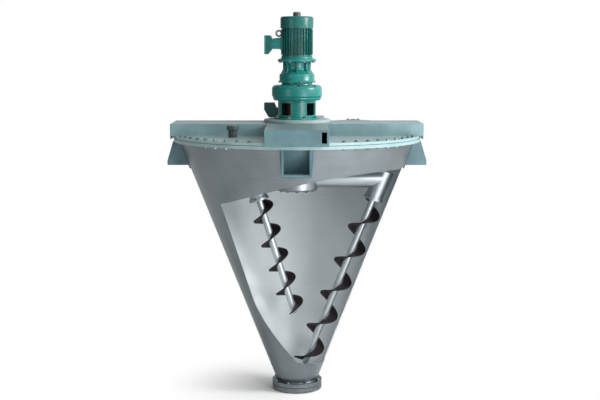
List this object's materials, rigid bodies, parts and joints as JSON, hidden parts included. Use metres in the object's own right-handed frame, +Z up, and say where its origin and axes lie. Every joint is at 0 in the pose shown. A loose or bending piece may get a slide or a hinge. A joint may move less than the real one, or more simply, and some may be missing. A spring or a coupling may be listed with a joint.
{
  "type": "conical twin-screw mixer",
  "caption": "Conical powder mixer hung from lugs: a cut-away cone with a long and a short slanted screw on a turning arm, driven from the cover.",
  "frame": {"origin": "on the vessel axis, in the underside plane of the four support lugs", "axes": "+Z up along the vessel axis, +X along the long arm, front at -Y"},
  "size_m": [1.67, 1.67, 2.4778],
  "materials": {
    "vessel_steel": "brushed stainless sheet, rolled and welded",
    "beam_paint": "grey-teal machine enamel",
    "gasket_rubber": "moulded rubber sheet",
    "bolt_steel": "dark plated steel",
    "outlet_steel": "dark painted casting",
    "nozzle_black": "black enamel",
    "manhole_paint": "dark grey enamel",
    "base_paint": "pale grey enamel",
    "drive_enamel": "glossy green-teal enamel over castings",
    "winding_copper": "wound copper in a laminated core",
    "machined_steel": "turned steel",
    "fan_plastic": "moulded fan",
    "cap_paint": "grey enamel",
    "case_iron": "rough casting",
    "gear_steel": "cut gear steel",
    "coupling_iron": "red oxide primed casting",
    "spider_rubber": "red moulded rubber",
    "gear_brass": "cut bronze",
    "arm_steel": "polished stainless casting",
    "shaft_steel": "ground stainless bar",
    "flight_steel": "dark stained plate flights"
  },
  "bodies": {
    "root": {"cone_shell": "vessel_steel", "vessel_flange": "beam_paint", "cover_gasket": "gasket_rubber", "cover_plate": "beam_paint", "cover_bolts": "bolt_steel", "main_beam": "beam_paint", "front_beam": "beam_paint", "back_beam": "beam_paint", "lug_left": "beam_paint", "lug_right": "beam_paint", "lug_front": "beam_paint", "lug_back": "beam_paint", "outlet_flange": "outlet_steel", "outlet_gasket": "gasket_rubber", "outlet_ring": "outlet_steel", "outlet_bolts": "bolt_steel", "spray_neck": "nozzle_black", "spray_cap": "nozzle_black", "manhole_neck": "manhole_paint", "manhole_gasket": "gasket_rubber", "manhole_pin": "bolt_steel", "drive_base": "base_paint", "drive_column": "drive_enamel", "reducer_ring": "drive_enamel", "reducer_bell": "drive_enamel", "drive_bolts": "bolt_steel", "motor_flange": "drive_enamel", "motor_frame": "drive_enamel", "motor_stator": "winding_copper", "fan_cowl": "drive_enamel", "cowl_cap": "cap_paint", "terminal_box": "drive_enamel", "terminal_lid": "drive_enamel", "lifting_eye": "bolt_steel", "gear_case": "case_iron", "slew_motor": "drive_enamel", "slew_box": "drive_enamel", "bearing_sleeve": "case_iron", "slew_bearings": "machined_steel"},
    "arm": {"slew_tube": "machined_steel", "slew_wheel": "gear_steel", "hub_case": "arm_steel", "hub_cover": "arm_steel", "arm_long": "arm_steel", "arm_short": "arm_steel", "shaft_bearings": "machined_steel"},
    "drive": {"drive_shaft": "machined_steel", "coupling": "coupling_iron", "coupling_spider": "spider_rubber", "drive_bevel": "gear_brass"},
    "long_arm_shaft": {"arm_shaft_long": "gear_steel"},
    "short_arm_shaft": {"arm_shaft_short": "gear_steel"},
    "long_screw": {"screw_long": "shaft_steel", "flight_long": "flight_steel"},
    "short_screw": {"screw_short": "shaft_steel", "flight_short": "flight_steel"},
    "rotor": {"motor_rotor": "machined_steel", "motor_fan": "fan_plastic"},
    "pinion": {"slew_pinion": "gear_steel"},
    "manhole_lid": {"manhole_cover": "manhole_paint"}
  },
  "joints": [
    {"name": "arm_slew", "type": "hinge", "parent": "root", "child": "arm", "pos_m": [0, 0, 0], "axis": [0, 0, 1], "continuous": true},
    {"name": "long_screw_spin", "type": "hinge", "parent": "arm", "child": "long_screw", "pos_m": [0.55409, 0, -0.095], "axis": [0.3772, 0, 0.9261], "continuous": true},
    {"name": "short_screw_spin", "type": "hinge", "parent": "arm", "child": "short_screw", "pos_m": [-0.29, 0, -0.095], "axis": [-0.2908, 0, 0.9568], "continuous": true},
    {"name": "drive_spin", "type": "hinge", "parent": "arm", "child": "drive", "pos_m": [0, 0, -0.095], "axis": [0, 0, 1], "continuous": true},
    {"name": "long_arm_shaft_spin", "type": "hinge", "parent": "arm", "child": "long_arm_shaft", "pos_m": [0, 0, -0.095], "axis": [1, 0, 0], "continuous": true},
    {"name": "short_arm_shaft_spin", "type": "hinge", "parent": "arm", "child": "short_arm_shaft", "pos_m": [0, 0, -0.095], "axis": [-1, 0, 0], "continuous": true},
    {"name": "motor_spin", "type": "hinge", "parent": "root", "child": "rotor", "pos_m": [0, 0, 0.7], "axis": [0, 0, 1], "continuous": true},
    {"name": "slew_pinion_spin", "type": "hinge", "parent": "root", "child": "pinion", "pos_m": [-0.05508, 0.21299, 0.23], "axis": [0, 0, 1], "continuous": true},
    {"name": "manhole_hinge", "type": "hinge", "parent": "root", "child": "manhole_lid", "pos_m": [0.39, 0.57, 0.251], "axis": [-1, 0, 0], "range_deg": [0, 110]}
  ],
  "couplings": [
    {"joint": "short_screw_spin", "follows": "long_screw_spin", "ratio": 1},
    {"joint": "drive_spin", "follows": "long_screw_spin", "ratio": 1},
    {"joint": "long_arm_shaft_spin", "follows": "long_screw_spin", "ratio": -1},
    {"joint": "short_arm_shaft_spin", "follows": "long_screw_spin", "ratio": -1},
    {"joint": "motor_spin", "follows": "long_screw_spin", "ratio": -17},
    {"joint": "slew_pinion_spin", "follows": "arm_slew", "ratio": -3}
  ]
}
